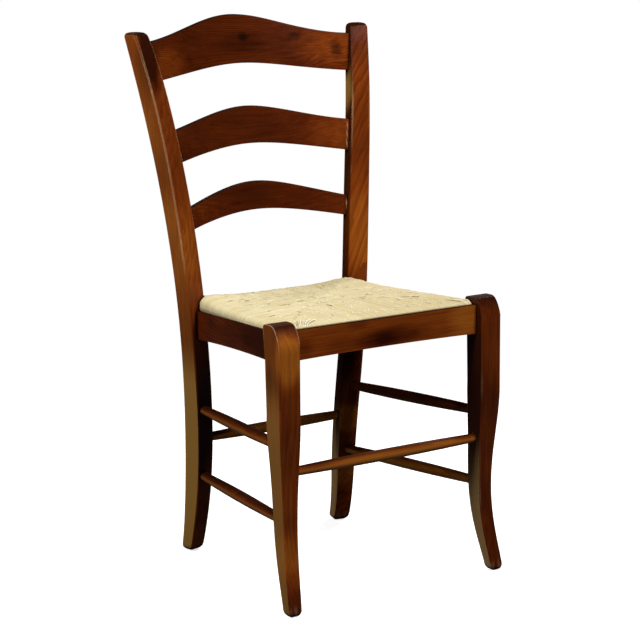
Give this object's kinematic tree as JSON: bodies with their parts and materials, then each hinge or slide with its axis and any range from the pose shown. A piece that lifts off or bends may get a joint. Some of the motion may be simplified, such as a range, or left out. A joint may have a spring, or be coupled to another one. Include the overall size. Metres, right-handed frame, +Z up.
{
  "type": "rush seat chair",
  "caption": "Ladder-back dining chair in dark stained wood, with arched back slats, turned stretchers, swept legs and a drop-in woven rush seat.",
  "frame": {"origin": "on the floor, under the middle of the chair's overall width and depth", "axes": "+Z up, -Y the way the chair faces, +X to the right for someone who looks at its front"},
  "size_m": [0.494, 0.5174, 0.9405],
  "materials": {
    "stained_wood": "satin lacquer over dark walnut stain",
    "inner_wood": "plain sawn",
    "rush": "twisted dry rush, dull sheen",
    "packing": "loose dry rush"
  },
  "bodies": {
    "chair_frame": {"crest_rail": "stained_wood", "front_corner_brace_left": "inner_wood", "front_corner_brace_right": "inner_wood", "front_leg_left": "stained_wood", "front_leg_right": "stained_wood", "front_seat_rail": "stained_wood", "front_stretcher": "stained_wood", "lower_side_stretcher_left": "stained_wood", "lower_side_stretcher_right": "stained_wood", "lower_slat": "stained_wood", "middle_slat": "stained_wood", "rear_corner_brace_left": "inner_wood", "rear_corner_brace_right": "inner_wood", "rear_post_left": "stained_wood", "rear_post_right": "stained_wood", "rear_seat_rail": "stained_wood", "rear_stretcher": "stained_wood", "side_seat_rail_left": "stained_wood", "side_seat_rail_right": "stained_wood", "upper_side_stretcher_left": "stained_wood", "upper_side_stretcher_right": "stained_wood"},
    "drop_in_seat": {"rush_packing": "packing", "rush_weave": "rush", "seat_frame_front": "inner_wood", "seat_frame_left": "inner_wood", "seat_frame_rear": "inner_wood", "seat_frame_right": "inner_wood"}
  },
  "joints": [
    {"name": "seat_lift", "type": "slide", "parent": "chair_frame", "child": "drop_in_seat", "axis": [0, 0, 1], "range_m": [0, 0.08]}
  ]
}
